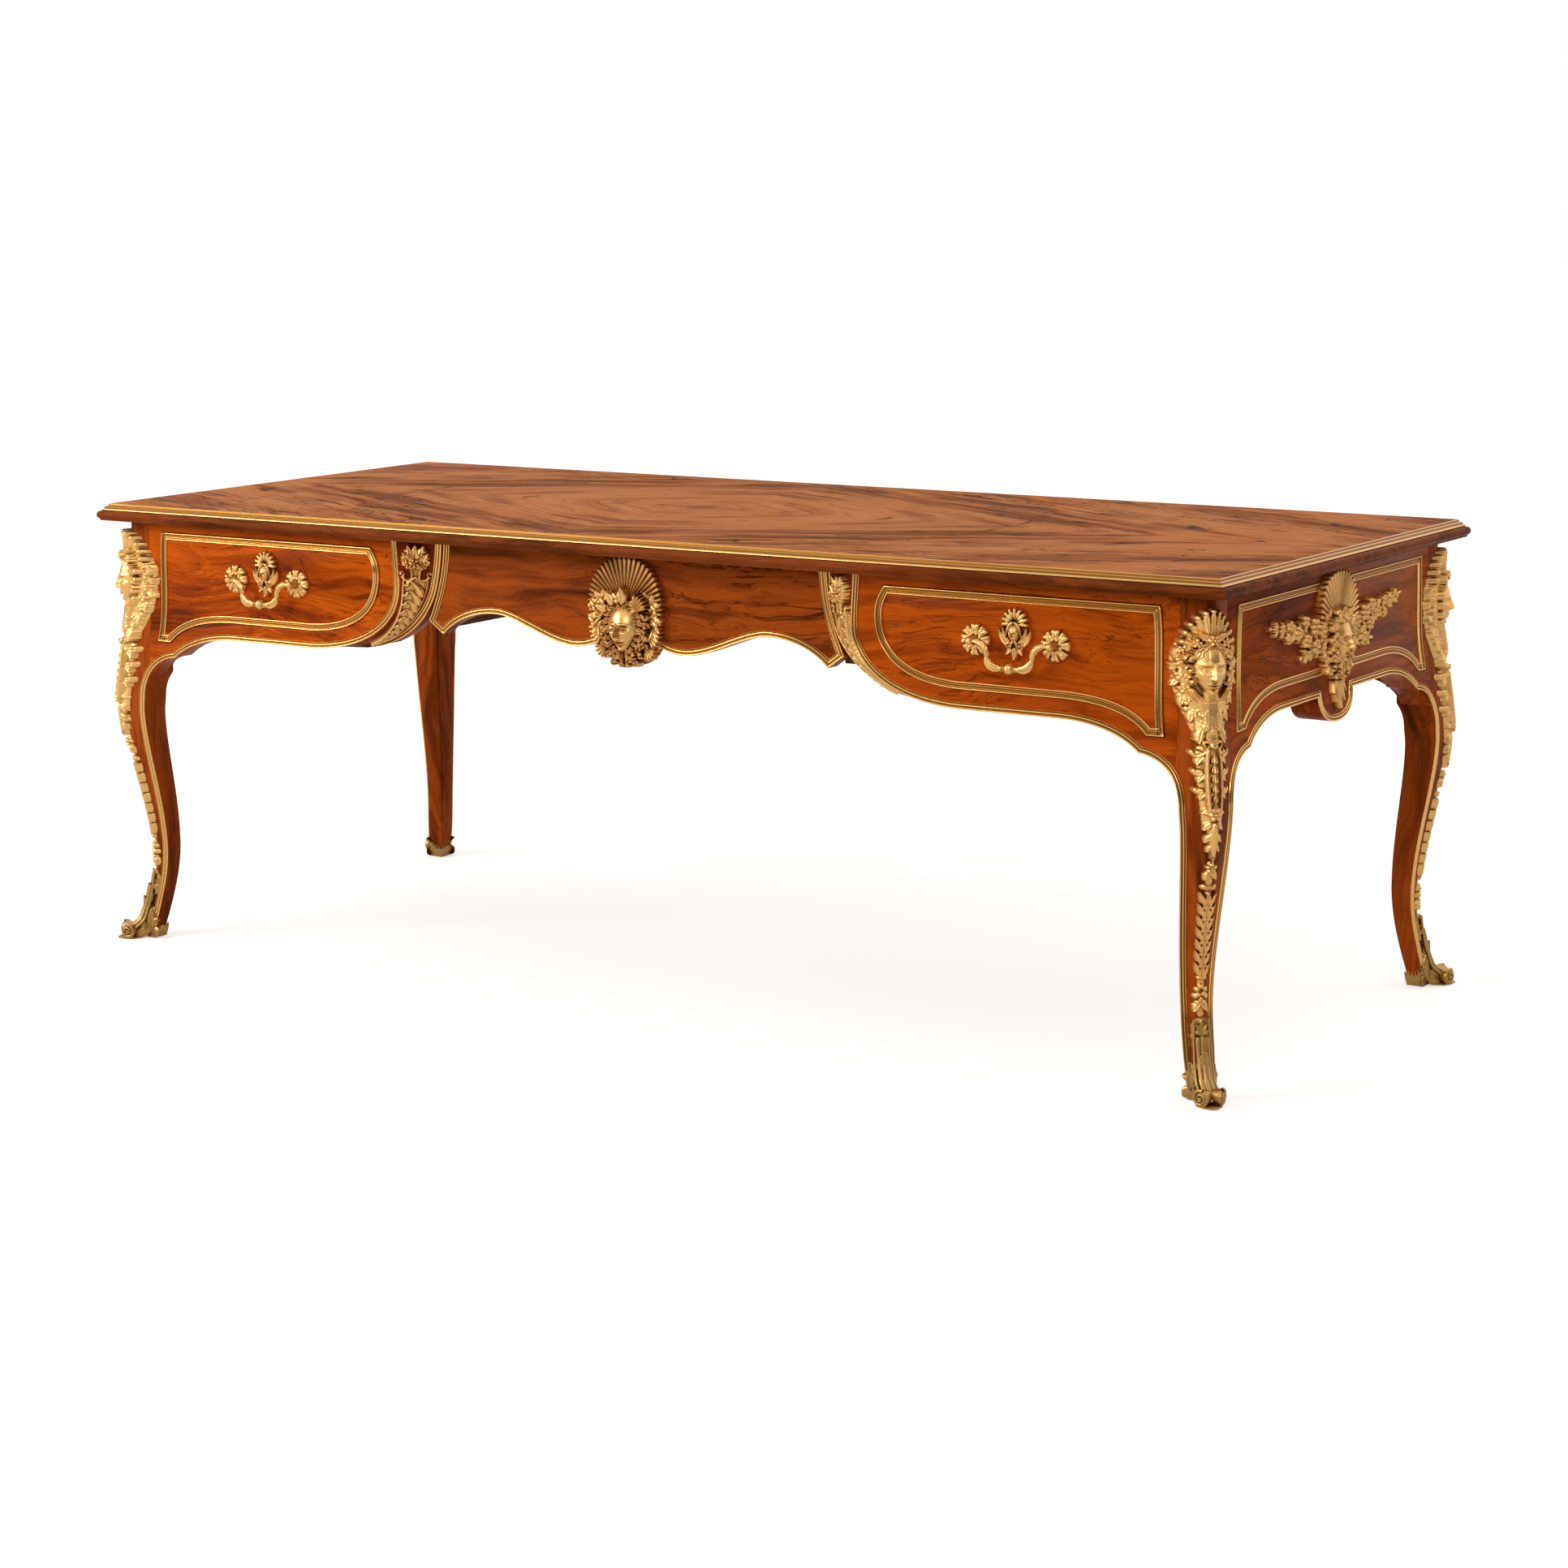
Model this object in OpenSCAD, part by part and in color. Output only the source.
// Bureau plat: a flat-topped writing desk with three drawers, cabriole legs and gilt mounts.
// Millimetres. Origin at the middle of the floor plan, +Z up, front towards -Y.

/* [Desk] */
// Width of the top over its edge moulding.
top_w = 2190; // [2060:10:2400]
// Depth of the top over its edge moulding.
top_d = 930; // [880:10:1000]
// Height of the writing surface.
desk_h = 785; // [770:5:800]
// Width between the two drawer pedestals at the front, under the top.
kneehole_w = 898; // [840:2:960]
// Height of the frieze from its straight lower edge to the underside of the top.
frieze_h = 198; // [192:1:204]

/* [Top] */
// Thickness of the veneer.
veneer_t = 1.2; // [0.8:0.1:2]
// Height of the brass band, down from the writing surface.
band_h = 12; // [10:0.5:14]
// Height of the whole edge: brass band and wooden ovolo.
edge_h = 29.5; // [27:0.5:33]
// Distance from the outermost edge to the core board.
edge_w = 20; // [18:0.5:24]

/* [Carcase] */
// Distance from the edge of the top to the face of the frieze, at its top.
face_in = 37.5; // [34:0.5:42]
// Distance from the edge of the top to the recessed kneehole face.
recess_in = 70; // [66:1:76]
// Thickness of the canted return behind the recessed face.
return_t = 30; // [26:1:34]
// Distance from the edge of the top to the back of the end frieze.
end_in = 80; // [72:1:86]
// Width of leg and stile measured from the edge of the top to the frieze joint.
joint_in = 88; // [86:0.5:90]
// Length of the tenons on the friezes.
tenon_l = 20; // [12:1:22]
// Thickness of the tenons.
tenon_t = 10; // [8:1:12]
// Width of the flat on the outer corner of each leg.
cant_w = 10; // [6:1:14]
// Thickness of the inner side panels of the pedestals.
panel_t = 18; // [14:1:20]
// Distance from the top corner of each pedestal front out to the inner face of its side panel.
panel_out = 54; // [49:1:64]

/* [Drawers] */
// Gap round each drawer front.
drawer_gap = 1.2; // [0.8:0.1:2]
// Distance from the edge of the top to the back face of the side drawer fronts.
front_back_in = 59.5; // [57:0.5:62]
// Thickness of the centre drawer front.
apron_t = 25; // [22:1:26]
// Thickness of drawer sides and backs.
board_t = 12; // [10:0.5:14]
// Thickness of drawer bottoms.
bottom_t = 8; // [6:0.5:9]
// Depth of the groove that holds a drawer bottom.
groove_d = 5; // [3:0.5:6]
// Length of the side drawer boxes behind their fronts.
side_box_l = 560; // [400:10:600]
// Length of the centre drawer box behind its front.
centre_box_l = 500; // [350:10:560]
// Clearance between a drawer box and its runners, guides and kickers.
slide_gap = 0.8; // [0.4:0.1:1.5]

/* [Gilt trims] */
// Width of the drawer and panel frames.
frame_w = 12.5; // [10:0.5:13]
// Width of the trims on the frieze edges and legs.
trim_w = 11; // [9:0.5:12]
// How far the trims stand out from the wood.
trim_t = 3; // [2:0.5:4]

/* [Handles] */
// Distance from the end of the top to the middle of a handle.
handle_in = 359.5; // [340:0.5:380]
// Distance between the two knobs of a handle.
bail_w = 137; // [128:1:146]
// Drop from the knobs to the middle of the bail.
bail_drop = 38; // [36:1:42]
// Thickness of the bail.
bail_d = 9; // [7:0.5:10]
// Diameter of the ball in the middle of the bail.
ball_d = 17; // [14:0.5:19]
// Diameter of the rosettes.
rosette_d = 52; // [44:1:56]
// Diameter of the knobs that hold the bail.
knob_d = 16; // [14:0.5:18]
// Diameter of the pivot pins of the bail.
pin_d = 5; // [4:0.25:5.5]
// Play of a pivot pin in its hole, on the diameter.
pin_play = 0.6; // [0.4:0.1:1]
// Distance from the edge of the top to the pivot line.
pivot_in = 15; // [13:0.5:17]

/* [Mounts] */
// Length of the corner mounts below the top.
corner_l = 380; // [365:1:390]
// Thickness of the wings of the corner mounts on the wood.
corner_t = 8; // [6:0.5:9]
// Height of the reeded shins of the sabots.
sabot_h = 122; // [112:1:132]
// Height of the band of the sabots round the foot.
shoe_h = 20; // [16:1:24]
// Thickness of the sabots over the wood.
sabot_t = 3; // [2:0.25:4]
// Radius of the scrolls on the toe.
toe_r = 13; // [12:0.5:14]
// Distance of the middle of the toe scrolls from the corner of the top.
toe_in = 26; // [25:0.5:30]
// Diameter of the screw heads.
screw_d = 6; // [5:0.5:7]
// Width of the large centre mask.
mask_w = 150; // [140:2:160]
// Height of the large centre mask.
mask_h = 178; // [172:1:180]
// How far the large masks stand out from the wood.
mask_t = 34; // [28:1:36]

/* [Quality] */
// Straight steps along each curved stretch of an outline.
curve_n = 7; // [6:1:10]

/* [Hidden] */
$fn = 40;

wood = [0.50, 0.21, 0.07];
dark = [0.36, 0.15, 0.06];
oak = [0.66, 0.50, 0.32];
gilt = [0.80, 0.58, 0.25];
steel = [0.45, 0.45, 0.47];

w2 = top_w / 2;
d2 = top_d / 2;
k2 = kneehole_w / 2;
panel_x = k2 - panel_out;
under = desk_h - edge_h;
apron = under - frieze_h;
knee = apron - 117.5;
ankle = 155;
sole = 6;
mitre_gap = 0.1;
root2 = sqrt(2);
reach = 260;

// Points of a cubic curve after its first point.
function bez(a, b, c, d, n = curve_n) =
  [for (i = [1:n]) let (t = i / n, s = 1 - t) s*s*s*a + 3*s*s*t*b + 3*s*t*t*c + t*t*t*d];
function rev(p) = [for (i = [len(p) - 1:-1:0]) p[i]];
function shift(p, d) = [for (q = p) [q[0] + d, q[1]]];
function flip(p) = [for (q = p) [-q[0], q[1]]];
// A half outline that ends on the middle line, doubled: left side down, right side up.
function both_sides(p) = concat(flip(p), [for (i = [len(p) - 2:-1:0]) p[i]]);
function unit(v) = v / norm(v);
function left_of(v) = [-v[1], v[0]];
function mitre(a, b) = (a + b) / (1 + a * b);

// An open line moved to its left by d, and the strip between the two.
function beside(p, d) = [for (i = [0:len(p) - 1])
  let (a = left_of(unit(i > 0 ? p[i] - p[i - 1] : p[1] - p[0])),
       b = left_of(unit(i < len(p) - 1 ? p[i + 1] - p[i] : p[i] - p[i - 1])))
  p[i] + d * mitre(a, b)];
function strip(p, w) = concat(p, rev(beside(p, w)));

// A closed counter-clockwise outline grown by d.
function grow(p, d) = [for (i = [0:len(p) - 1])
  let (n = len(p), q = p[i],
       a = left_of(unit(q - p[(i + n - 1) % n])),
       b = left_of(unit(p[(i + 1) % n] - q)))
  q - d * mitre(a, b)];

// Outer face of frieze and leg: [distance in from the edge of the top, height].
face = concat([[face_in, under], [face_in - 0.5, apron + 92.5]],
  bez([face_in - 0.5, apron + 92.5], [face_in, apron], [21, apron - 52], [20.3, knee - 8]),
  bez([20.3, knee - 8], [20.3, knee - 80], [53.2, ankle + 85], [53.2, ankle]),
  bez([53.2, ankle], [53.2, ankle - 60], [38, 60], [38, sole]));

// Line of the frieze edge from its straight part to the foot: [distance in, height].
cusp_line = bez([285, apron], [230, apron - 0.5], [180, apron - 12.5], [148, apron - 39.5]);
wing_line = bez([148, apron - 39.5], [121, apron - 42], [98, apron - 55.5],
  [joint_in, apron - 76]);
knee_line = bez([joint_in, apron - 76], [82, apron - 86.5], [78, knee + 17], [78, knee]);
shin_line = concat(bez([78, knee], [77, knee - 12], [76, knee - 20], [76, knee - 32], 3),
  bez([76, knee - 32], [76, 350], [88.5, 260], [88.5, 185]));
foot_line = bez([88.5, 185], [90, 120], [74, 55], [63, sole]);
// Where a line, [distance in, height], lies at a height, and the line cut off there.
function line_at(p, z) = lookup(z, [for (q = p) [q[1], q[0]]]);
function cut_line(p, z) = concat([for (q = p) if (q[1] > z) q], [[line_at(p, z), z]]);
leg_edge = cut_line(concat(knee_line, shin_line, foot_line), shoe_h);

// Lines of the pedestal at its kneehole end, [x, height], from the top down.
face_end = concat([[k2, under]],
  bez([k2, under], [k2, under - 22], [k2 - 4, under - 50], [k2 - 4, apron + 117.5]),
  bez([k2 - 4, apron + 117.5], [k2 - 4, apron + 57.5], [k2 + 61, apron + 2.5],
    [k2 + 191, apron]));
land_end = concat([[k2 - 57, under]],
  bez([k2 - 57, under], [k2 - 57, under - 27], [k2 - 52, under - 55],
    [k2 - 45, apron + 117.5]),
  bez([k2 - 45, apron + 117.5], [k2 - 33, apron + 74.5], [k2 + 26, apron + 2.5],
    [k2 + 151, apron]));
body_end = concat([[k2 - 70.5, under]],
  bez([k2 - 70.5, under], [k2 - 70.5, under - 27], [k2 - 65.5, under - 55],
    [k2 - 59, apron + 117.5]),
  bez([k2 - 59, apron + 117.5], [k2 - 47, apron + 70.5], [k2 + 6, apron - 4.5],
    [k2 + 151, apron]));

function at_end(p, far) = [for (q = p) [far - q[0], q[1]]];
edge_line = concat([[285, apron]], cusp_line, wing_line);
frieze_line = concat(face_end, at_end(edge_line, w2));
front_line = concat(frieze_line, at_end(leg_edge, w2));

// Outline of a side drawer front, counter-clockwise from the upper left corner.
drawer_top = under - 18.5;
drawer_low = apron + 30;
drawer_line = concat([[k2 + 56, drawer_top]],
  bez([k2 + 56, drawer_top], [k2 + 46, drawer_top - 13], [k2 + 38, drawer_top - 29],
    [k2 + 39, apron + 132.5]),
  bez([k2 + 39, apron + 132.5], [k2 + 41, apron + 54.5], [k2 + 116, apron + 28.5],
    [k2 + 206, drawer_low]),
  [[w2 - 295, drawer_low]],
  bez([w2 - 295, drawer_low], [w2 - 215, drawer_low + 0.5], [w2 - 165, apron + 17.5],
    [w2 - 137, apron - 13]),
  [[w2 - 108, apron - 12.5]],
  bez([w2 - 108, apron - 12.5], [w2 - 121, apron + 52.5], [w2 - 111, apron + 132.5],
    [w2 - 120, drawer_top]));

// Half outline of the centre drawer front from its upper corner to the mask.
tongue_r = 57;
tongue_z = apron + 67.5;
tongue_a = asin((apron + 51.5 - tongue_z) / tongue_r);
arch_x = k2 - 179;
apron_side = concat([[k2 - 73, under - 1.7]],
  bez([k2 - 73, under - 1.7], [k2 - 72, under - 55], [k2 - 57, apron + 97.5],
    [k2 - 38, apron + 58.5]),
  [[k2 - 68, apron + 37]],
  bez([k2 - 68, apron + 37], [k2 - 89, apron + 59.5], [k2 - 129, apron + 78.5],
    [arch_x, apron + 78.5]),
  bez([arch_x, apron + 78.5], [arch_x - 45, apron + 78.5], [160, apron + 36.5],
    [108, apron + 36.5]),
  bez([108, apron + 36.5], [88, apron + 36.5], [68, apron + 41.5],
    [tongue_r * cos(tongue_a), apron + 51.5], 4));
tongue = [for (i = [1:8]) let (a = tongue_a + (-90 - tongue_a) * i / 8)
  [tongue_r * cos(a), tongue_z + tongue_r * sin(a)]];
apron_half = concat(apron_side, tongue);
apron_line = both_sides(apron_half);
fixed_apron_line = concat([[73 - k2, under]], apron_line, [[k2 - 73, under]]);

// Lower edge of an end frieze: half outline from the middle of the tongue to the leg.
end_flat = d2 - 265;
end_tongue = concat([[0, apron - 44.5]],
  bez([0, apron - 44.5], [40, apron - 44.5], [62, apron - 27.5], [64, apron]));
end_edge = concat(end_tongue, [[end_flat, apron]],
  bez([end_flat, apron], [d2 - 225, apron - 1], [d2 - 176, apron - 12.5],
    [d2 - 148, apron - 39.5]),
  at_end(wing_line, d2));
end_line = concat(end_edge, at_end(leg_edge, d2));
end_half = concat([[0, under]], end_edge, [[d2 - joint_in, under]]);

// Outline of the gilt panel frame on an end, right half from the middle of its lower side.
panel_low = apron + 33;
panel_top = under - 21;
panel_half = concat([[0, panel_low], [d2 - 275, panel_low]],
  bez([d2 - 275, panel_low], [d2 - 215, panel_low], [d2 - 165, apron + 17.5],
    [d2 - 138, apron - 10]),
  [[d2 - 109, apron - 11]],
  bez([d2 - 109, apron - 11], [d2 - 123, apron + 52.5], [d2 - 115, apron + 130],
    [d2 - 123, panel_top]),
  [[0, panel_top]]);
panel_line = concat(panel_half, [for (i = [len(panel_half) - 2:-1:1]) flip(panel_half)[i]]);

// Placing helpers.
module left_right() { children(); mirror([1, 0, 0]) children(); }
module front_back() { children(); mirror([0, 1, 0]) children(); }
module corners() { left_right() front_back() children(); }
// An [x, z] outline between two depths in from the front edge of the top.
module fronted(a, b) {
  translate([0, b - d2, 0]) rotate([90, 0, 0]) linear_extrude(b - a) children();
}
// A [y, z] outline between two depths in from the right edge of the top.
module ended(a, b) {
  translate([w2 - b, 0, 0]) rotate([90, 0, 90]) linear_extrude(b - a) children();
}
// The layer between two lines [depth in, height], along the front or the right end.
module front_layer(outer, inner) {
  translate([-w2, -d2, 0]) rotate([90, 0, 90]) linear_extrude(top_w)
    polygon(concat(outer, rev(inner)));
}
module end_layer(outer, inner) {
  translate([w2, d2, 0]) rotate([90, 0, 0]) linear_extrude(top_d) mirror([1, 0])
    polygon(concat(outer, rev(inner)));
}
function straight(d) = [[d, under], [d, sole]];
module front_solid(back) { front_layer(face, straight(back)); }
module end_solid(back) { end_layer(face, straight(back)); }
shown = cut_line(face, shoe_h);
module front_skin() { front_layer(shift(shown, -trim_t), shown); }
module end_skin() { end_layer(shift(shown, -trim_t), shown); }

// Top.
veneer_in = edge_w - 1.5;
band_line = [[veneer_in, desk_h - 1.5], [14, desk_h - 4.5], [13, desk_h - 6.6],
  [8, desk_h - 10], [7, desk_h - 11], [7, desk_h - band_h], [edge_w, desk_h - band_h],
  [edge_w, desk_h - veneer_t], [veneer_in, desk_h - veneer_t]];
ovolo_line = concat([[edge_w, desk_h - band_h], [7, desk_h - band_h]],
  bez([7, desk_h - band_h], [1.5, desk_h - band_h - 1], [0, desk_h - band_h - 5],
    [0, desk_h - edge_h + 9.5], 4),
  [[1, desk_h - edge_h + 6], [4.5, desk_h - edge_h + 2.5], [4.5, under], [edge_w, under]]);

module mitred_ring(line) {
  for (turn = [0, 180]) rotate(turn) {
    intersection() {
      translate([-w2, -d2, 0]) rotate([90, 0, 90]) linear_extrude(top_w) polygon(line);
      linear_extrude(desk_h + 1) polygon([[-w2 + mitre_gap, -d2], [w2 - mitre_gap, -d2],
        [w2 - 60 - mitre_gap, 60 - d2], [60 + mitre_gap - w2, 60 - d2]]);
    }
    intersection() {
      translate([w2, d2, 0]) rotate([90, 0, 0]) linear_extrude(top_d) mirror([1, 0])
        polygon(line);
      linear_extrude(desk_h + 1) polygon([[w2, -d2 + mitre_gap], [w2, d2 - mitre_gap],
        [w2 - 60, d2 - 60 - mitre_gap], [w2 - 60, 60 + mitre_gap - d2]]);
    }
  }
}
module top_board() {
  color(dark) translate([edge_w - w2, edge_w - d2, under])
    cube([top_w - 2 * edge_w, top_d - 2 * edge_w, edge_h - veneer_t]);
}
module top_veneer() {
  color(wood) translate([veneer_in - w2, veneer_in - d2, desk_h - veneer_t])
    cube([top_w - 2 * veneer_in, top_d - 2 * veneer_in, veneer_t]);
}
module top_edge_moulding() { color(wood) mitred_ring(ovolo_line); }
module top_brass_band() { color(gilt) mitred_ring(band_line); }

// Legs, drawn with the corner of the top at the origin.
leg_inner = concat([[joint_in, under], [joint_in, apron - 76]], knee_line, shin_line, foot_line);
leg_line = concat(face, rev(leg_inner));
cant_line = [for (q = face) [(q[0] + cant_w / 2) * root2, q[1]]];

module to_corner() { translate([-w2, -d2, 0]) children(); }
module cross_shape(line) {
  intersection() {
    translate([0, reach, 0]) rotate([90, 0, 0]) linear_extrude(reach) polygon(line);
    rotate([90, 0, 90]) linear_extrude(reach) polygon(line);
  }
}
// A [diagonal distance from the corner, height] outline, w wide across the diagonal.
module diagonal(w) {
  rotate(45) translate([0, w / 2, 0]) rotate([90, 0, 0]) linear_extrude(w) children();
}
module leg_wood() {
  intersection() {
    cross_shape(leg_line);
    diagonal(2 * reach)
      polygon(concat(cant_line, [[reach, sole], [reach, under]]));
  }
}
tenon_in = face_in + 14;
tenon_z = apron + 45;
tenon_h = frieze_h - 65;
module tenon(gap) {
  translate([joint_in - tenon_l - gap, tenon_in - gap, tenon_z - gap])
    cube([tenon_l + gap + 1, tenon_t + 2 * gap, tenon_h + 2 * gap]);
}
module end_tenon(gap) { mirror([1, -1, 0]) tenon(gap); }
module leg() {
  color(wood) to_corner() difference() {
    leg_wood();
    tenon(0.2);
    end_tenon(0.2);
  }
}
module leg_front_left() { leg(); }
module leg_front_right() { mirror([1, 0, 0]) leg(); }
module leg_back_left() { mirror([0, 1, 0]) leg(); }
module leg_back_right() { rotate(180) leg(); }

// Pedestal fronts.
module frieze_board() {
  intersection() {
    fronted(0, recess_in) polygon(concat(frieze_line, [[w2 - joint_in, under]]));
    front_solid(recess_in);
  }
  mirror([1, 0, 0]) to_corner() translate([0.5, 0, 0]) tenon(0);
}
module front_frieze_right() {
  color(wood) difference() {
    frieze_board();
    fronted(0, recess_in + 1) polygon(grow(drawer_line, drawer_gap));
  }
}
module front_frieze_left() { mirror([1, 0, 0]) front_frieze_right(); }
module back_frieze_right() { color(wood) mirror([0, 1, 0]) frieze_board(); }
module back_frieze_left() { mirror([1, 0, 0]) back_frieze_right(); }

// Canted return: a ruled wedge from the pedestal face to the recessed land, with its body behind.
cant_front = face_in + 2 - d2;
cant_back = recess_in - d2;
module wedge() {
  n = len(face_end);
  rings = [for (i = [0:n - 1])
    [[face_end[i][0], cant_front, face_end[i][1]],
     [land_end[i][0], cant_back, land_end[i][1]],
     [face_end[i][0], cant_back, face_end[i][1]]]];
  sides = [for (i = [0:n - 2], j = [0:2]) let (a = 3 * i + j, b = 3 * i + (j + 1) % 3)
    each [[b, a, a + 3], [b, a + 3, b + 3]]];
  polyhedron([for (r = rings) each r],
    concat([[0, 1, 2]], sides, [[3 * n - 1, 3 * n - 2, 3 * n - 3]]), convexity = 6);
}
module return_body() {
  fronted(recess_in, recess_in + return_t)
    polygon(concat(body_end, [for (i = [len(face_end) - 1:-1:0]) beside(face_end, return_t)[i]]));
}
module front_return() { wedge(); return_body(); }
module front_returns() { color(wood) left_right() front_return(); }
module back_returns() { color(wood) mirror([0, 1, 0]) left_right() front_return(); }
module back_apron() {
  color(wood) mirror([0, 1, 0]) fronted(recess_in + trim_t, recess_in + return_t)
    polygon(fixed_apron_line);
}

// Ends.
module end_frieze_right() {
  color(wood) {
    intersection() {
      ended(0, end_in) union() { polygon(end_half); mirror([1, 0]) polygon(end_half); }
      end_solid(end_in);
    }
    mirror([1, 0, 0]) front_back() to_corner() translate([0, 0.5, 0]) end_tenon(0);
  }
}
module end_frieze_left() { mirror([1, 0, 0]) end_frieze_right(); }

// Inside of the carcase.
back_in = top_d - recess_in - return_t;
panel_low_z = apron + 42.5;
rail_t = 12;
rail_w = 60;
rail_in = recess_in + return_t + 4;
module between(a, b) { translate([0, b - d2, 0]) rotate([90, 0, 0]) linear_extrude(b - a) children(); }
module rect(x0, x1, z0, z1) { translate([x0, z0]) square([x1 - x0, z1 - z0]); }
module side_panels() {
  color(dark) left_right() between(recess_in + return_t, back_in)
    rect(panel_x, panel_x + panel_t, panel_low_z, under);
}
module top_rails() {
  color(oak) front_back() fronted(rail_in, rail_in + rail_w)
    rect(-panel_x, panel_x, under - rail_t, under);
}

box_x0 = k2 + 113;
box_x1 = w2 - 127;
box_z0 = apron + 46.5;
box_z1 = drawer_top - 9;
cbox_x = panel_x - 23;
cbox_z0 = apron + 91;
cbox_z1 = under - rail_t - 3;
bearer = 17;
guide = 16;
module drawer_runners() {
  inner0 = box_x0 - slide_gap;
  outer1 = box_x1 + slide_gap;
  seat = box_z0 - slide_gap / 4;
  cseat = cbox_z0 - slide_gap / 4;
  color(oak) left_right() {
    between(recess_in + return_t, back_in) {
      rect(inner0 - 13, box_x0 + 28, seat - bearer, seat);
      rect(inner0 - 13, inner0, seat - 1, seat + guide);
    }
    between(recess_in, top_d - recess_in) {
      rect(box_x1 - 17, w2 - joint_in, seat - bearer, seat);
      rect(outer1, outer1 + 13, seat - 1, seat + guide);
    }
    between(rail_in, top_d - rail_in) {
      rect(cbox_x - 20, panel_x, cseat - bearer, cseat);
      rect(cbox_x + slide_gap, panel_x, cseat - 1, cseat + guide);
    }
  }
}
module drawer_kickers() {
  color(oak) left_right() {
    between(recess_in + return_t, back_in) {
      rect(box_x0, box_x0 + 22, box_z1 + slide_gap, under);
      rect(box_x1 - 22, box_x1, box_z1 + slide_gap, under);
    }
    between(rail_in + rail_w, top_d - rail_in - rail_w)
      rect(cbox_x - 22, cbox_x, cbox_z1 + slide_gap, under);
  }
}

// Side drawers, drawn on the right.
module drawer_front() {
  color(wood) intersection() {
    fronted(0, front_back_in) polygon(drawer_line);
    front_solid(front_back_in);
  }
}
module drawer_frame() {
  color(gilt) intersection() {
    fronted(0, front_back_in) difference() {
      polygon(drawer_line);
      polygon(grow(drawer_line, -frame_w));
    }
    front_skin();
  }
}
bottom_up = 8;
module box_sides(x0, x1, z0, z1, a, b) {
  color(oak) difference() {
    fronted(a, b) {
      rect(x0, x0 + board_t, z0, z1);
      rect(x1 - board_t, x1, z0, z1);
    }
    fronted(a - 1, b + 1)
      rect(x0 + board_t - groove_d, x1 - board_t + groove_d, z0 + bottom_up,
        z0 + bottom_up + bottom_t);
  }
}
module box_back(x0, x1, z0, z1, b) {
  color(oak) fronted(b - board_t, b)
    rect(x0 + board_t, x1 - board_t, z0 + bottom_up + bottom_t, z1);
}
module box_bottom(x0, x1, z0, a, b) {
  color(oak) fronted(a, b)
    rect(x0 + board_t - groove_d, x1 - board_t + groove_d, z0 + bottom_up,
      z0 + bottom_up + bottom_t);
}
side_end = front_back_in + side_box_l;
module drawer_sides() { box_sides(box_x0, box_x1, box_z0, box_z1, front_back_in, side_end); }
module drawer_back() { box_back(box_x0, box_x1, box_z0, box_z1, side_end); }
module drawer_bottom() { box_bottom(box_x0, box_x1, box_z0, front_back_in, side_end); }

// Handle: two rosettes with knobs, and a swan-neck bail that turns in them.
handle_x = w2 - handle_in;
handle_z = apron + 108.5;
plate_in = face_in - 0.8;
module to_handle() { translate([handle_x, pivot_in - d2, handle_z]) children(); }
// A round outline with n lobes.
function lobes(r, n, deep) = [for (i = [0:6 * n - 1])
  let (a = 60 / n * i) (r - deep * (1 - abs(sin(n / 2 * a)))) * [cos(a), sin(a)]];
module rosette() {
  rotate([90, 0, 0]) {
    translate([0, 0, pivot_in - plate_in]) intersection() {
      rotate_extrude()
        polygon(concat([[0, 0], [rosette_d / 2, 0], [rosette_d / 2, 2]],
          bez([rosette_d / 2, 2], [rosette_d / 2 - 3, 6.5], [rosette_d / 4, 7], [8, 5.5], 5),
          [[5, 8], [5, 14], [0, 14]]));
      linear_extrude(20) polygon(lobes(rosette_d / 2, 8, 5));
    }
  }
  sphere(d = knob_d);
}
module rosettes() {
  color(gilt) to_handle() left_right() translate([bail_w / 2, 0, 0]) difference() {
    rosette();
    translate([-knob_d, 0, 0]) rotate([0, 90, 0]) cylinder(d = pin_d + pin_play, h = knob_d + 2);
  }
}
arm_r1 = bail_drop * 0.55;
arm_r2 = bail_drop - arm_r1;
arm_x = bail_w / 2 - knob_d / 2 - 1;
bar_l = arm_x - arm_r1 - arm_r2;
ball_r = ball_d / 2;
half_bar = concat([[ball_r, 0]],
  [for (a = [15, 30, 45, 60]) ball_r * [cos(a), sin(a)]],
  [[bail_d * 0.62, ball_r], [bail_d * 0.62, ball_r + 1.5], [bail_d * 0.42, ball_r + 2.5],
   [bail_d * 0.6, (ball_r + bar_l) / 2 + 1], [bail_d / 2, bar_l]]);
bar_line = concat([[0, -bar_l]], [for (i = [len(half_bar) - 1:-1:1]) [half_bar[i][0], -half_bar[i][1]]],
  half_bar, [[0, bar_l]]);
module bail() {
  color(gilt) to_handle() {
    translate([0, 0, -bail_drop]) rotate([0, 90, 0]) rotate_extrude() polygon(bar_line);
    left_right() {
      translate([arm_x - 0.5, 0, 0]) rotate([0, 90, 0]) cylinder(d = pin_d, h = knob_d / 2 + 2);
      translate([arm_x, 0, -arm_r1]) rotate([90, 0, 0])
        rotate_extrude(angle = 90, start = 90) translate([arm_r1, 0]) circle(d = bail_d);
      translate([bar_l, 0, -arm_r1]) rotate([90, 0, 0])
        rotate_extrude(angle = 90, start = 270) translate([arm_r2, 0]) circle(d = bail_d);
    }
  }
}
shield_w = 56;
shield_h = 77;
shield_z = handle_z + 13;
shield_line = concat([[0, -shield_h / 2]],
  bez([0, -shield_h / 2], [10, -shield_h / 2 + 2], [12, -shield_h / 4],
    [shield_w / 2, -2], 5),
  bez([shield_w / 2, -2], [shield_w / 2 + 2, 14], [18, shield_h / 2], [0, shield_h / 2], 6));
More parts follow.
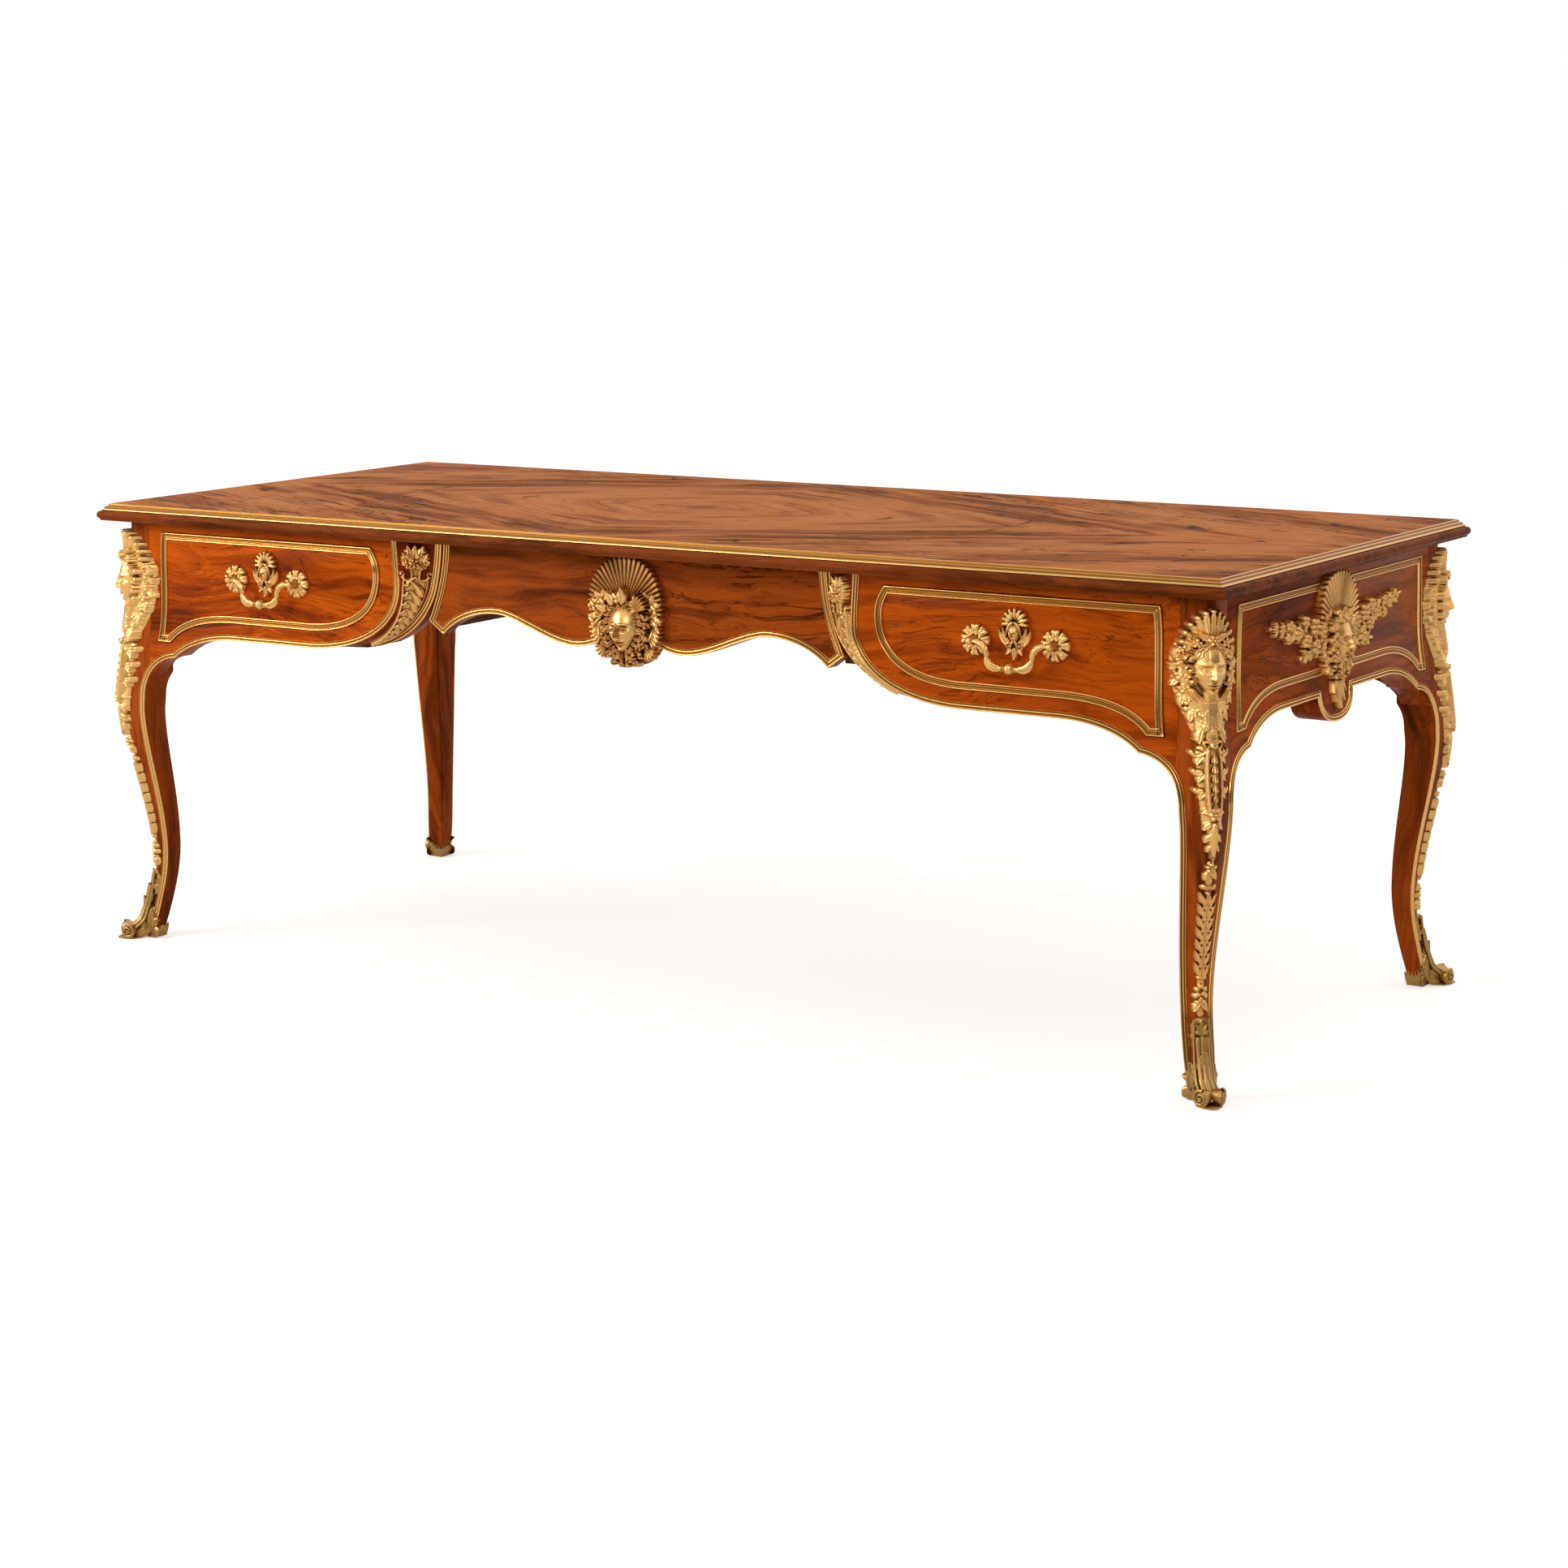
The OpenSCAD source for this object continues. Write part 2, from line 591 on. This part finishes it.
module head(rx, rz) {
  rotate_extrude() polygon(concat([[0, -rz]],
    [for (i = [1:9]) let (a = -90 + 18 * i) [rx * cos(a), rz * sin(a)]], [[0, rz]]));
}
module escutcheon() {
  color(gilt) translate([handle_x, plate_in - d2, shield_z]) {
    rotate([90, 0, 0]) linear_extrude(4) {
      polygon(shield_line);
      mirror([1, 0]) polygon(shield_line);
    }
    intersection() {
      translate([0, 0, 4]) head(11, 17);
      translate([-20, -30, -30]) cube([40, 30, 60]);
    }
  }
}
module lock() {
  color(steel) fronted(front_back_in, front_back_in + 12)
    rect(handle_x - 32, handle_x + 32, shield_z - 22, box_z1 - 4);
}

module right_drawer_front() { drawer_front(); }
module right_drawer_sides() { drawer_sides(); }
module right_drawer_back() { drawer_back(); }
module right_drawer_bottom() { drawer_bottom(); }
module right_drawer_frame() { drawer_frame(); }
module right_drawer_escutcheon() { escutcheon(); }
module right_drawer_rosettes() { rosettes(); }
module right_drawer_bail() { bail(); }
module right_drawer_lock() { lock(); }
module left_drawer_front() { mirror([1, 0, 0]) drawer_front(); }
module left_drawer_sides() { mirror([1, 0, 0]) drawer_sides(); }
module left_drawer_back() { mirror([1, 0, 0]) drawer_back(); }
module left_drawer_bottom() { mirror([1, 0, 0]) drawer_bottom(); }
module left_drawer_frame() { mirror([1, 0, 0]) drawer_frame(); }
module left_drawer_escutcheon() { mirror([1, 0, 0]) escutcheon(); }
module left_drawer_rosettes() { mirror([1, 0, 0]) rosettes(); }
module left_drawer_bail() { mirror([1, 0, 0]) bail(); }
module left_drawer_lock() { mirror([1, 0, 0]) lock(); }

// Centre drawer.
apron_face = recess_in + trim_t;
apron_back = apron_face + apron_t;
centre_end = apron_back + centre_box_l;
module centre_drawer_front() { color(wood) fronted(apron_face, apron_back) polygon(apron_line); }
module apron_trim() {
  fronted(recess_in, apron_face) left_right()
    intersection() {
      polygon(strip(rev(apron_side), trim_w + 1));
      rect(mask_w / 2 - 17, k2, 0, under - 1.7);
    }
}
module centre_drawer_trim() { color(gilt) apron_trim(); }
module centre_drawer_sides() {
  box_sides(-cbox_x, cbox_x, cbox_z0, cbox_z1, apron_back, centre_end);
}
module centre_drawer_back() { box_back(-cbox_x, cbox_x, cbox_z0, cbox_z1, centre_end); }
module centre_drawer_bottom() { box_bottom(-cbox_x, cbox_x, cbox_z0, apron_back, centre_end); }

// Large mask: a fluted shell plate with a head on it.
mask_x = mask_w / 2;
mask_top = under - 6.5;
mask_low = mask_top - mask_h;
mask_line = concat([[0, mask_low]],
  bez([0, mask_low], [mask_x * 0.45, mask_low + 2], [mask_x * 0.55, mask_low + 28],
    [mask_x * 0.88, mask_low + 42]),
  bez([mask_x * 0.88, mask_low + 42], [mask_x, mask_low + 70], [mask_x * 1.02, mask_low + 110],
    [mask_x * 0.88, mask_low + 135]),
  bez([mask_x * 0.88, mask_low + 135], [mask_x * 0.7, mask_top - 12], [mask_x * 0.4, mask_top],
    [0, mask_top]));
plate_t = 10;
rib_z = mask_low + 76;
rib_step = 11;
module mask_shape() { polygon(mask_line); mirror([1, 0]) polygon(mask_line); }
// Ribs of the shell, spread round the head.
module shell_ribs() {
  intersection() {
    mask_shape();
    for (i = [-8:8]) translate([0, rib_z]) rotate(rib_step * i)
      polygon([[-1.5, 38], [1.5, 38], [5.5, mask_h], [-5.5, mask_h]]);
  }
}
module mask_plate(t) {
  linear_extrude(t) mask_shape();
  linear_extrude(t + 3) shell_ribs();
}
module large_mask() {
  color(gilt) translate([0, apron_face - d2, 0]) {
    rotate([90, 0, 0]) mask_plate(plate_t);
    intersection() {
      translate([0, 0, mask_low + 60]) head(mask_t, 52);
      translate([-mask_x, -mask_x, 0]) cube([mask_w, mask_x, under]);
    }
  }
}
module trimmed_mask() {
  difference() {
    large_mask();
    apron_trim();
  }
}
module centre_drawer_mask() { trimmed_mask(); }
module back_mask() { mirror([0, 1, 0]) trimmed_mask(); }

// Gilt work of the back.
module back_frames() {
  mirror([0, 1, 0]) {
    left_right() drawer_frame();
    color(gilt) apron_trim();
  }
}
module back_escutcheons() { mirror([0, 1, 0]) left_right() escutcheon(); }
module back_rosettes() { mirror([0, 1, 0]) left_right() rosettes(); }
module back_bail_right() { mirror([0, 1, 0]) bail(); }
module back_bail_left() { rotate(180) bail(); }

// Trims on the friezes, returns and legs.
module pedestal_trims() {
  intersection() {
    fronted(0, recess_in) polygon(strip(front_line, trim_w));
    front_skin();
  }
  last = len(land_end) - 3;
  fronted(recess_in - trim_t, recess_in)
    polygon(concat([for (i = [0:last]) body_end[i]], [for (i = [last:-1:0]) land_end[i]]));
}
module front_trims() { color(gilt) left_right() pedestal_trims(); }
module back_trims() { color(gilt) mirror([0, 1, 0]) left_right() pedestal_trims(); }
module end_ring() {
  difference() {
    polygon(panel_line);
    polygon(grow(panel_line, -frame_w));
  }
}
module end_trims() {
  color(gilt) left_right() intersection() {
    ended(0, recess_in) difference() {
      union() {
        end_ring();
        polygon(strip(end_line, trim_w));
        mirror([1, 0]) polygon(strip(end_line, trim_w));
      }
      end_shadow();
    }
    end_skin();
  }
}

// End mount: shell plate and head with a spray of flowers on each side.
end_mask_top = under - 5;
module end_shape() {
  translate([0, end_mask_top - mask_top]) intersection() {
    union() { polygon(mask_line); mirror([1, 0]) polygon(mask_line); }
    rect(-mask_x * 0.96, mask_x * 0.96, mask_low - 1, mask_top + 1);
  }
  polygon([[-22, end_mask_top - mask_h + 40], [0, apron - 24], [22, end_mask_top - mask_h + 40]]);
}
module end_shadow() { end_shape(); }
module leaf(l) { polygon([[0, 0], [l * 0.45, -l * 0.22], [l, 0], [l * 0.45, l * 0.22]]); }
module spray() {
  polygon([[60, apron + 102], [60, apron + 90], [232, apron + 112], [232, apron + 116]]);
  for (i = [0:6]) translate([78 + 25 * i, apron + 98 + 2.4 * i]) {
    rotate(58) leaf(30 - 1.5 * i);
    rotate(-42) leaf(30 - 1.5 * i);
  }
  translate([226, apron + 113]) rotate(8) leaf(24);
}
// Flowers along a spray: [distance from the middle, height over the frieze edge, diameter].
flowers = [[84, 74, 26], [94, 104, 28], [124, 101, 24], [152, 108, 20], [180, 107, 17]];
module end_mounts() {
  color(gilt) left_right() {
    intersection() {
      ended(face_in - 12, face_in + 3) union() { end_shape(); spray(); mirror([1, 0]) spray(); }
      end_layer(shift(face, -9), face);
    }
    intersection() {
      ended(face_in - 13, face_in + 3) {
        translate([0, end_mask_top - mask_top]) shell_ribs();
        for (s = [-1, 1], q = flowers) translate([s * q[0], apron + q[1]])
          polygon(lobes(q[2] / 2, 6, 3));
      }
      end_layer(shift(face, -12), face);
    }
    intersection() {
      translate([w2 - face_in, 0, end_mask_top - mask_h + 68]) head(mask_t - 1, 50);
      end_layer(shift(face, -reach), face);
    }
  }
}

// Cornucopia on a canted return: a tapering horn with flowers at its mouth.
horn_from = 4;
horn_to = len(face_end) - 2;
module horn() {
  n = horn_to - horn_from + 1;
  out = unit([-(cant_back - cant_front), -(57 - 4), 0]);
  rings = [for (i = [horn_from:horn_to])
    let (a = [face_end[i][0], cant_front, face_end[i][1]],
         b = [land_end[i][0], cant_back, land_end[i][1]],
         t = (i - horn_from) / (n - 1),
         half = 0.40 - 0.22 * t,
         m = (a + b) / 2,
         p = m + (a - b) * half,
         q = m - (a - b) * half,
         up = out * (1 - t) * 13 + out * 5)
    [p, p + up * 0.6, m + up, q + up * 0.6, q]];
  sides = [for (i = [0:n - 2], j = [0:4]) let (a = 5 * i + j, b = 5 * i + (j + 1) % 5)
    each [[b, a, b + 5], [b + 5, a, a + 5]]];
  polyhedron([for (r = rings) each r],
    concat([[0, 1, 2, 3, 4]], sides,
      [[5 * n - 1, 5 * n - 2, 5 * n - 3, 5 * n - 4, 5 * n - 5]]), convexity = 6);
}
module bouquet() {
  mid = [(face_end[2][0] + land_end[2][0]) / 2, (cant_front + cant_back) / 2, under - 34];
  for (d = [[0, 0, 18], [-12, 8, 8], [12, -7, 8], [-10, 7, -8], [10, -6, -8], [0, 0, -2]])
    translate(mid + d) sphere(d = 24, $fn = 12);
}
module cornucopia() {
  difference() {
    union() { horn(); bouquet(); }
    front_return();
    front_frieze_right();
    pedestal_trims();
  }
}
module cornucopias() { color(gilt) corners() cornucopia(); }

// Corner mounts, drawn with the corner of the top at the origin.
mount_top = under - 8;
mount_low = mount_top - corner_l;
// Edge of the wings on each face: [distance in, height].
mount_wing = [for (q = [[48, 0], [54, 20], [69, 33], [81, 51], [80, 64], [93, 81], [98, 98],
    [97, 114], [86, 137], [67, 175], [56, 198], [44, 216], [61, 224], [47, 240], [54, 252],
    [41, 275], [48, 305], [42, corner_l - 30], [30, corner_l]])
  [q[0], mount_top - q[1]]];
// Half width of the figure on the corner: [distance from the diagonal, height].
mount_half = concat([[8, mount_top], [20, mount_top - 14]],
  bez([20, mount_top - 14], [27, mount_top - 70], [29, mount_top - 115],
    [16, mount_top - 141], 5),
  bez([16, mount_top - 141], [16, mount_top - 200], [12, mount_top - 260],
    [12, mount_low + 50], 3),
  [[4, mount_low]]);
// Outer line of the figure, the same on both faces: [distance in, height].
mount_core = [for (q = [[36, 0], [32, 17], [32, 42], [28, 63], [24, 86], [23.5, 133], [22, 156],
    [15.6, 179], [13, 227], [10.5, 271], [8.5, 295], [9.5, 317], [13, corner_l - 43],
    [16, corner_l - 21], [21, corner_l]])
  [q[0], mount_top - q[1]]];
module corner_wood() {
  intersection() {
    cross_shape(concat(face, [[reach, sole], [reach, under]]));
    diagonal(2 * reach) polygon(concat(cant_line, [[reach, sole], [reach, under]]));
  }
}
module around_corner(line, top, low) {
  cross_shape(concat(line, [[reach, low], [reach, top]]));
}
module across_corner() { rotate(45) rotate([90, 0, 90]) linear_extrude(120) children(); }
screw_spots = [[mount_top - 17, 43.5], [mount_top - 206, 18.5], [mount_low + 9, 25]];
module screw(d) {
  for (s = screw_spots) rotate(45) translate([s[1], 0, s[0]]) rotate([0, 90, 0])
    cylinder(d = d, h = 40);
}
module corner_mount() {
  difference() {
    union() {
      cross_shape(concat([[face_in - corner_t, mount_top]],
        [for (q = cut_line(face, mount_low)) if (q[1] < mount_top) [q[0] - corner_t, q[1]]],
        rev(mount_wing)));
      intersection() {
        around_corner(mount_core, mount_top, mount_low);
        across_corner() { polygon(mount_half); mirror([1, 0]) polygon(mount_half); }
      }
    }
    corner_wood();
    screw(screw_d + 0.4);
  }
}
module corner_mounts() { color(gilt) corners() to_corner() corner_mount(); }
module mount_screws() {
  color(steel) corners() to_corner() difference() {
    screw(screw_d);
    corner_wood();
  }
}
chain_top = mount_low - 2;
chain_low = sabot_h + 3;
husks = 9;
husk_l = (chain_top - chain_low) / husks;
// One side of the chain: each husk swells from its neck to the tips of its leaves.
husk_side = [for (i = [0:husks - 1], q = [[0, 4.5], [0.35, 8.5], [0.72, 11], [0.97, 4.5]])
  [q[1] * (1.05 - 0.3 * i / husks), chain_top - (i + q[0]) * husk_l]];
module leg_chain() {
  difference() {
    intersection() {
      around_corner(shift(face, -2), under, sole);
      across_corner() polygon(both_sides(concat([[0, chain_top + 0.5]], husk_side, [[0, chain_low]])));
    }
    corner_wood();
  }
}
module leg_chains() { color(gilt) corners() to_corner() leg_chain(); }

// Sabots: a band round the foot, a leaf on each outer face, a reeded shin and two scrolls.
shoe_tip = shoe_h + 14;
shoe_leaf_h = shoe_h + 59;
foot_edge = concat(shin_line, foot_line);
module sock(h) {
  cross_shape(concat([[line_at(face, h) - sabot_t, h]],
    [for (q = shift(face, -sabot_t)) if (q[1] < h) q], [[35, 0], [65, 0]],
    rev([for (q = shift(foot_edge, sabot_t)) if (q[1] < h) q]),
    [[line_at(foot_edge, h) + sabot_t, h]]));
}
// A line along the outer side of the leg trim.
function trim_edge(z) = line_at(foot_edge, z) - trim_w - 0.8;
shoe_leaf_line = concat([for (z = [0, shoe_h, 45, shoe_leaf_h - 12]) [trim_edge(z), z]],
  [for (i = [1:5]) let (a = 36 * i) [trim_edge(shoe_leaf_h - 12) - 6 + 6 * cos(a),
    shoe_leaf_h - 12 + 8 * sin(a)]],
  [[46, shoe_leaf_h - 30], [46, 0]]);
module shoe_leaf() {
  intersection() {
    rotate([90, 0, 90]) linear_extrude(reach)
      polygon(concat([[line_at(face, shoe_leaf_h) - sabot_t, shoe_leaf_h]],
        [for (q = shift(face, -sabot_t)) if (q[1] < shoe_leaf_h) q], [[35, 0], [60, 0],
        [60, shoe_leaf_h]]));
    translate([0, reach, 0]) rotate([90, 0, 0]) linear_extrude(reach) polygon(shoe_leaf_line);
  }
}
// The shin and the toe, [diagonal distance from the corner, height].
shin_shape = concat([[toe_in + 54, sabot_h], [toe_in + 43, sabot_h]],
  bez([toe_in + 43, sabot_h], [toe_in + 37, 84], [toe_in + 33, 64], [toe_in + 20, 35]),
  [[toe_in + 13, 2 * toe_r - 1], [toe_in, 2 * toe_r - 1], [toe_in - 8, toe_r], [toe_in - 6, 4],
   [toe_in + 60, 4], [toe_in + 60, sabot_h - 30]]);
reed_d = 6.5;
module shin() {
  rotate(45) for (i = [-1:1]) translate([i == 0 ? -1.5 : 0, reed_d * (i + 0.5), 0])
    rotate([90, 0, 0]) linear_extrude(reed_d) polygon(shin_shape);
}
// Leaves that fill the side between scroll and band.
module toe_leaves() {
  diagonal(32) polygon([[toe_in, 3], [toe_in + 4, 2 * toe_r - 3], [toe_in + 18, 2 * toe_r + 3],
    [toe_in + 31, 2 * toe_r + 17], [toe_in + 33, 3]]);
}
module toe() {
  rotate(45) {
    for (s = [-1, 1]) translate([toe_in, s * 14, toe_r]) rotate([90, 0, s * 33]) {
      cylinder(r = toe_r - 0.6, h = 8, center = true);
      cylinder(r = 4, h = 11, center = true);
    }
    linear_extrude(4) polygon([[toe_in - 19, 0], [toe_in - 8, 9], [toe_in + 26, 20],
      [toe_in + 26, -20], [toe_in - 8, -9]]);
  }
}
module sabot() {
  difference() {
    union() {
      sock(shoe_h);
      intersection() {
        sock(shoe_tip);
        rotate(45) translate([96, 0, 0]) rotate([90, 0, 90]) linear_extrude(60)
          polygon([[-13, shoe_h - 1], [0, shoe_tip], [13, shoe_h - 1]]);
      }
      shoe_leaf();
      mirror([1, -1, 0]) shoe_leaf();
      shin();
      toe_leaves();
      toe();
    }
    leg_wood();
  }
}
module sabots() { color(gilt) corners() to_corner() sabot(); }

top_board();
top_veneer();
top_edge_moulding();
top_brass_band();
leg_front_left();
leg_front_right();
leg_back_left();
leg_back_right();
front_frieze_left();
front_frieze_right();
front_returns();
back_frieze_left();
back_frieze_right();
back_returns();
back_apron();
end_frieze_left();
end_frieze_right();
side_panels();
top_rails();
drawer_runners();
drawer_kickers();
left_drawer_front();
left_drawer_sides();
left_drawer_back();
left_drawer_bottom();
left_drawer_frame();
left_drawer_escutcheon();
left_drawer_rosettes();
left_drawer_bail();
left_drawer_lock();
right_drawer_front();
right_drawer_sides();
right_drawer_back();
right_drawer_bottom();
right_drawer_frame();
right_drawer_escutcheon();
right_drawer_rosettes();
right_drawer_bail();
right_drawer_lock();
centre_drawer_front();
centre_drawer_sides();
centre_drawer_back();
centre_drawer_bottom();
centre_drawer_trim();
centre_drawer_mask();
back_frames();
back_mask();
back_escutcheons();
back_rosettes();
back_bail_left();
back_bail_right();
front_trims();
back_trims();
end_trims();
end_mounts();
cornucopias();
corner_mounts();
leg_chains();
sabots();
mount_screws();
